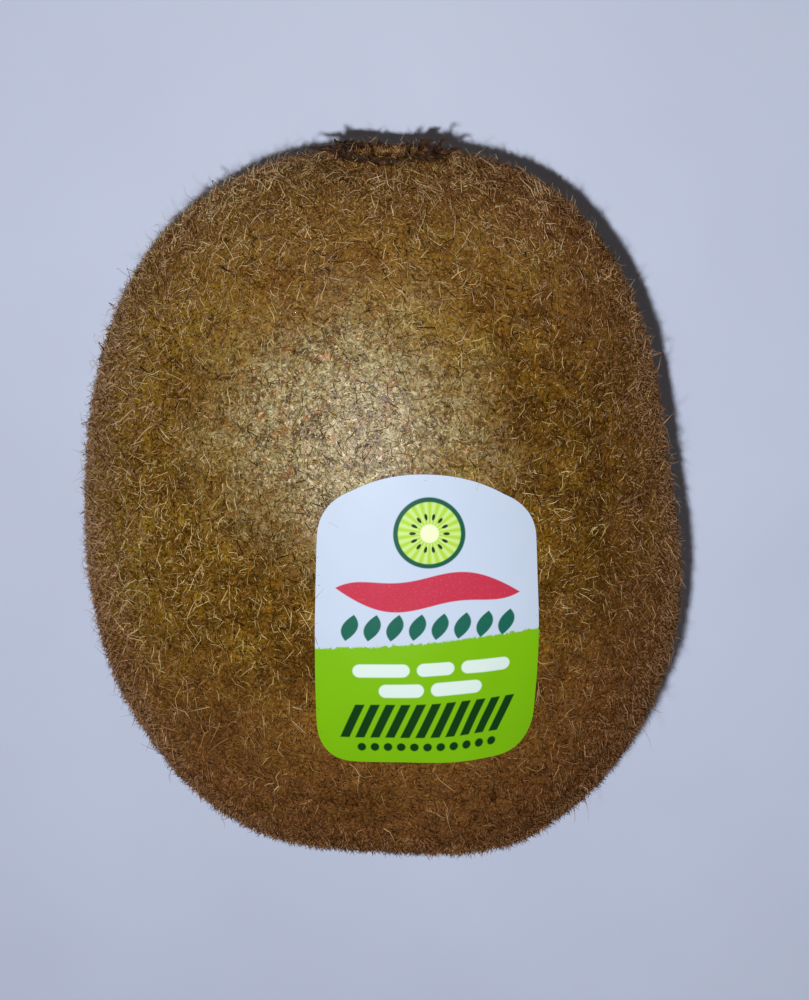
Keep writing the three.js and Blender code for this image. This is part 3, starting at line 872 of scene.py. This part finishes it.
bits_tree = bit_tree()
bits = [grow(dried_ring, name, bits_tree, BIT_INPUTS, values, {"Seed": seed, "Finish": styles_material})
        for name, (seed, *values) in BITS.items()]
for piece in [dried_ring, *bits]:
    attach(piece, "root")
    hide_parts("dried_styles")

# The paper label. It is a thin coated sticker pressed onto the hairs, white above and lime green
# below, printed with a plain slice mark, a ribbon, a row of leaves, blank bars, stripes and dots.
LABEL_LIFT, LABEL_THICKNESS = 0.16, 0.12
LABEL_BANDS = 26
RIPPLE_SPACING, RIPPLE_HEIGHT = 2.4, 0.05
UNDERSIDE_GROWTH = 1.008     # keeps a width on the map for the cut edge
MAP_SIZE = np.array([LABEL_WIDTH, LABEL_LENGTH]) * 1.05


def label_layer(share, lift):
    flat = settled(outline * share)
    points = over_labelled_skin(flat, lift)
    ripple = RIPPLE_HEIGHT * noise_at(points, RIPPLE_SPACING, 6)
    return over_labelled_skin(flat, lift + ripple) + to_frame


bands = [(band + 1) / LABEL_BANDS for band in range(LABEL_BANDS)]
layers = [(share, LABEL_LIFT + LABEL_THICKNESS, 1) for share in bands]
layers += [(share, LABEL_LIFT, UNDERSIDE_GROWTH) for share in reversed(bands)]
centre = np.zeros((1, 2))
rim = len(outline)
label_points = [over_labelled_skin(centre, LABEL_LIFT + LABEL_THICKNESS) + to_frame]
label_map = [centre]
for share, lift, growth in layers:
    label_points.append(label_layer(share, lift))
    label_map.append(outline * share * growth)
label_points.append(over_labelled_skin(centre, LABEL_LIFT) + to_frame)
label_map.append(centre)
label_points, label_map = np.vstack(label_points), np.vstack(label_map)
label_faces = [(a, c, d, b) for a, b, d, c in wall_faces(len(layers), rim, False, 1)]
last_ring = 1 + (len(layers) - 1) * rim
for step in range(rim):
    following = (step + 1) % rim
    label_faces.append((0, 1 + step, 1 + following))
    label_faces.append((len(label_points) - 1, last_ring + following, last_ring + step))
label_mesh = bpy.data.meshes.new("paper_label")
label_mesh.from_pydata((label_points * MM).tolist(), [], label_faces)
label_mesh.shade_smooth()
label_mesh.set_sharp_from_angle(angle=math.radians(50))
label_mesh.uv_layers.new(name="OFBake")
corners = np.array([loop.vertex_index for loop in label_mesh.loops])
on_map = label_map[corners] / MAP_SIZE + 0.5
label_mesh.uv_layers["OFBake"].data.foreach_set("uv", on_map.astype(np.float32).ravel())
label = placed("paper_label", label_mesh)

WHITE_PAPER, GREY_PAPER = (0.47, 0.56, 0.72), (0.38, 0.46, 0.62)
LIME, DARK_LIME = (0.165, 0.42, 0.0015), (0.15, 0.40, 0.008)
BOTTLE_GREEN, LEAF_GREEN = (0.006, 0.085, 0.055), (0.01, 0.13, 0.10)
BRIGHT_GREEN = (0.33, 0.58, 0.03)
CORE_CREAM = (0.72, 0.80, 0.52)
SEED_BLACK = (0.01, 0.02, 0.012)
RED, DARK_RED, WORN_RED = (0.46, 0.03, 0.07), (0.42, 0.015, 0.03), (0.62, 0.18, 0.24)
INK_GREEN = (0.003, 0.035, 0.004)
PALE_BAR = (0.58, 0.72, 0.70)

label_material, tree, shader = new_material("printed_label")
on_label = value_of(tree, "ShaderNodeUVMap", uv_map="OFBake")
s, t = (product(tree, minus(tree, share, 0.5), size)     # millimetres across and along
        for share, size in zip(parts(tree, on_label), MAP_SIZE))
PRINT_EDGE = 0.05


def filled(distance):
    """1 where the distance is below zero, with a slightly soft printed edge."""
    return value_of(tree, "ShaderNodeMapRange", distance, -PRINT_EDGE, PRINT_EDGE, 1.0, 0.0)


def offset(value, amount):
    return minus(tree, value, amount)


def within(value, limit):
    return filled(offset(value, limit))


def size_of(value):
    return maths(tree, "ABSOLUTE", value)


def distance_from(x, y):
    return maths(tree, "SQRT", plus(tree, *(power(tree, size_of(value), 2) for value in (x, y))))


def pill(x, y, half_length, half_height):
    """Distance to a bar with round ends."""
    beyond = maths(tree, "MAXIMUM", offset(size_of(x), half_length - half_height), 0.0)
    return offset(distance_from(beyond, y), half_height)


def repeated(value, spacing):
    """The distance from the nearest of the places that lie the spacing apart, one of them at zero."""
    return maths(tree, "PINGPONG", plus(tree, value, spacing * ABOVE_ZERO), spacing / 2)


def paper_grain(scale, detail, roughness):
    return value_of(tree, "ShaderNodeTexNoise", into={
        "Vector": on_label, "Scale": scale, "Detail": detail, "Roughness": roughness})


ABOVE_ZERO = 20      # how many spacings keep a repeated pattern's count above zero
paper_noise, torn_noise = paper_grain(60.0, 6.0, 0.7), paper_grain(26.0, 8.0, 0.8)
flecks = product(tree, ramp(tree, paper_grain(110.0, 3.0, 0.8), (0.56, BLACK), (0.68, WHITE)), 0.35)
print_colour = mix(tree, product(tree, paper_noise, 0.12), WHITE_PAPER, GREY_PAPER)
prints = []          # where each ink is printed, and the ink, in their order

# The green field ends above in a rough torn-looking edge that climbs to the right.
FIELD_TOP, FIELD_CLIMB, FIELD_ROUGHNESS = -1.9, 0.055, 1.5
field_edge = plus(tree, product(tree, s, FIELD_CLIMB), FIELD_TOP,
                  product(tree, offset(torn_noise, 0.5), FIELD_ROUGHNESS))
prints.append((within(t, field_edge), mix(tree, product(tree, paper_noise, 0.25), LIME, DARK_LIME)))

# A round slice mark: dark rind, bright flesh with pale rays, cream core and a ring of seeds.
SLICE_PLACE, SLICE_RADIUS, SLICE_RIND = 8.0, 3.1, 0.4
CORE_RADIUS, RAY_COUNT, SEED_RING, SEED_COUNT, SEED_SIZE = 0.8, 22, 1.45, 14, 0.26
slice_t = offset(t, SLICE_PLACE)
slice_r = distance_from(s, slice_t)
slice_turn = maths(tree, "ARCTAN2", slice_t, s)
prints.append((within(slice_r, SLICE_RADIUS), BOTTLE_GREEN))
rays = product(tree, plus(tree, maths(tree, "COSINE", product(tree, slice_turn, RAY_COUNT)), 1), 0.22)
flesh = mix(tree, rays, BRIGHT_GREEN, CORE_CREAM)
prints.append((within(slice_r, SLICE_RADIUS - SLICE_RIND), flesh))
prints.append((within(slice_r, CORE_RADIUS), CORE_CREAM))
seed_turn = maths(tree, "PINGPONG", plus(tree, slice_turn, math.pi), math.pi / SEED_COUNT)
seed_side = product(tree, seed_turn, SEED_RING * 2.0)
seed_out = product(tree, offset(slice_r, SEED_RING), 0.9)
prints.append((within(distance_from(seed_side, seed_out), SEED_SIZE), SEED_BLACK))

# A red ribbon that waves across and tapers to both ends, and a row of dark green leaves under it.
RIBBON_PLACE, RIBBON_HALF_LENGTH, RIBBON_HALF_HEIGHT = 2.75, 7.9, 1.35
RIBBON_TURN, RIBBON_WAVE = 0.55, 0.45
wave = product(tree, maths(tree, "SINE", product(tree, s, RIBBON_TURN)), RIBBON_WAVE)
ribbon_y = offset(offset(t, RIBBON_PLACE), wave)
taper = power(tree, maths(tree, "DIVIDE", s, RIBBON_HALF_LENGTH), 4)
ribbon_half = product(tree, minus(tree, 1.0, taper), RIBBON_HALF_HEIGHT)
ribbon_ink = mix(tree, flecks, mix(tree, product(tree, paper_noise, 0.3), RED, DARK_RED), WORN_RED)
prints.append((within(size_of(ribbon_y), ribbon_half), ribbon_ink))
LEAF_PLACE, LEAF_SPACING, LEAF_REACH = -0.45, 1.9, 7.6
LEAF_HALF_WIDTH, LEAF_HALF_HEIGHT, LEAF_SLANT = 0.68, 1.2, 0.3
leaf_t = offset(t, LEAF_PLACE)
leaf_s = minus(tree, s, product(tree, leaf_t, LEAF_SLANT))
leaf_x = repeated(offset(leaf_s, -LEAF_SPACING / 2), LEAF_SPACING)
leaf_rise = power(tree, maths(tree, "DIVIDE", leaf_t, LEAF_HALF_HEIGHT), 2)
leaf_half = product(tree, minus(tree, 1.0, leaf_rise), LEAF_HALF_WIDTH)
leaves = product(tree, within(leaf_x, leaf_half), within(size_of(leaf_s), LEAF_REACH))
prints.append((leaves, mix(tree, paper_noise, BOTTLE_GREEN, LEAF_GREEN)))

# On the green field: two rows of blank white bars, and a band of slanted dark stripes over a row of dots.
BAR_HALF_HEIGHT = 0.6
BARS = ((-4.0, -4.35, 2.4), (0.6, -4.35, 1.6), (4.9, -4.35, 2.1), (-2.3, -6.2, 1.9), (2.4, -6.2, 2.2))
for bar_s, bar_t, bar_half_length in BARS:
    prints.append((filled(pill(offset(s, bar_s), offset(t, bar_t), bar_half_length, BAR_HALF_HEIGHT)), PALE_BAR))
STRIPE_PLACE, STRIPE_HALF_HEIGHT, STRIPE_REACH = -9.0, 1.55, 7.15
STRIPE_SPACING, STRIPE_HALF_SHARE, STRIPE_SLANT = 1.3, 0.31, 0.45
slanted = minus(tree, s, product(tree, offset(t, STRIPE_PLACE), STRIPE_SLANT))
stripes = product(tree, within(repeated(slanted, STRIPE_SPACING), STRIPE_SPACING * STRIPE_HALF_SHARE),
                  within(size_of(offset(t, STRIPE_PLACE)), STRIPE_HALF_HEIGHT),
                  within(size_of(slanted), STRIPE_REACH))
prints.append((stripes, INK_GREEN))
DOT_PLACE, DOT_SPACING, DOT_RADIUS, DOT_REACH = -11.45, 1.15, 0.38, 6.2
dots = within(distance_from(repeated(s, DOT_SPACING), offset(t, DOT_PLACE)), DOT_RADIUS)
dots = product(tree, dots, within(size_of(s), DOT_REACH))
prints.append((dots, INK_GREEN))
for where, ink in prints:
    print_colour = mix(tree, where, print_colour, ink)
tree.links.new(print_colour, shader.inputs["Base Color"])
set_gloss(shader, 0.5, 0.15)
label_mesh.materials.append(label_material)
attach(label, "root")
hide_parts("fruit_label")

# The floor, the light and the camera. A pale level floor, a small bright lamp close beside the lens and
# a dim room round it, with the camera nearly straight above and a little towards the flower end.
VIEW_TILT = math.radians(14)
VIEW_DISTANCE = 230
AIM_FROM_MIDDLE = (2.16, 3.84, 0)
PIXELS_PER_MM = 1 / 0.0947
IMAGE_HEIGHT = 1000
SENSOR = 36
LAMP_FROM_LENS, LAMP_SIZE, LAMP_POWER = (-9.5, -13, 0), 5, 0.52

bpy.ops.mesh.primitive_plane_add(size=3, location=(0, 0, 0))
floor = bpy.context.object
floor.name = "floor"
floor_material, tree, shader = new_material("pale_floor")
place = texture_place(tree)
blotches = ramp(tree, fine_noise(tree, place, 25, 3, 0.5),
                (0.3, (0.548, 0.625, 0.845)), (0.7, (0.578, 0.66, 0.885)))
# The floor is painted darker towards the side beyond the flower end, a painted falloff of light.
painted_falloff = add_node(tree, "ShaderNodeMapRange", parts(tree, place)["Y"], -45 * MM, 45 * MM, 1.04, 0.9)
tree.links.new(scaled(tree, blotches, result(painted_falloff)), shader.inputs["Base Color"])
shader.inputs["Roughness"].default_value = 0.6
floor.data.materials.append(floor_material)

aim_point = (np.array(AIM_FROM_MIDDLE) + to_frame) * MM
eye = aim_point + VIEW_DISTANCE * MM * np.array([0, math.sin(VIEW_TILT), math.cos(VIEW_TILT)])
camera_data = bpy.data.cameras.new("camera")
camera_data.sensor_width = SENSOR
camera_data.lens = VIEW_DISTANCE * PIXELS_PER_MM * SENSOR / IMAGE_HEIGHT
camera_data.clip_start = 0.01
camera = placed("camera", camera_data)
camera.location = eye
camera.rotation_euler = (-VIEW_TILT, 0, 0)
bpy.context.scene.camera = camera

lamp_data = bpy.data.lights.new("key", "AREA")
lamp_data.shape = "DISK"
lamp_data.size = LAMP_SIZE * MM
lamp_data.energy = LAMP_POWER
lamp_data.color = (1.0, 0.98, 0.95)
lamp = placed("key", lamp_data)
lamp.location = eye + np.array(LAMP_FROM_LENS) * MM
lamp.rotation_euler = (Vector(aim_point) - lamp.location).to_track_quat("-Z", "Y").to_euler()

# Pale walls stand round the table, and the ceiling above it is dim.
world = bpy.data.worlds.new("soft_room")
world.use_nodes = True
room = world.node_tree
direction = result(add_node(room, "ShaderNodeTexCoord"), "Generated")
walls = ramp(room, parts(room, direction)["Z"], (0.15, (0.42, 0.375, 0.33)), (0.5, (0.045, 0.039, 0.034)))
room.links.new(walls, room.nodes["Background"].inputs["Color"])
bpy.context.scene.world = world
bpy.context.scene.view_settings.view_transform = "Standard"
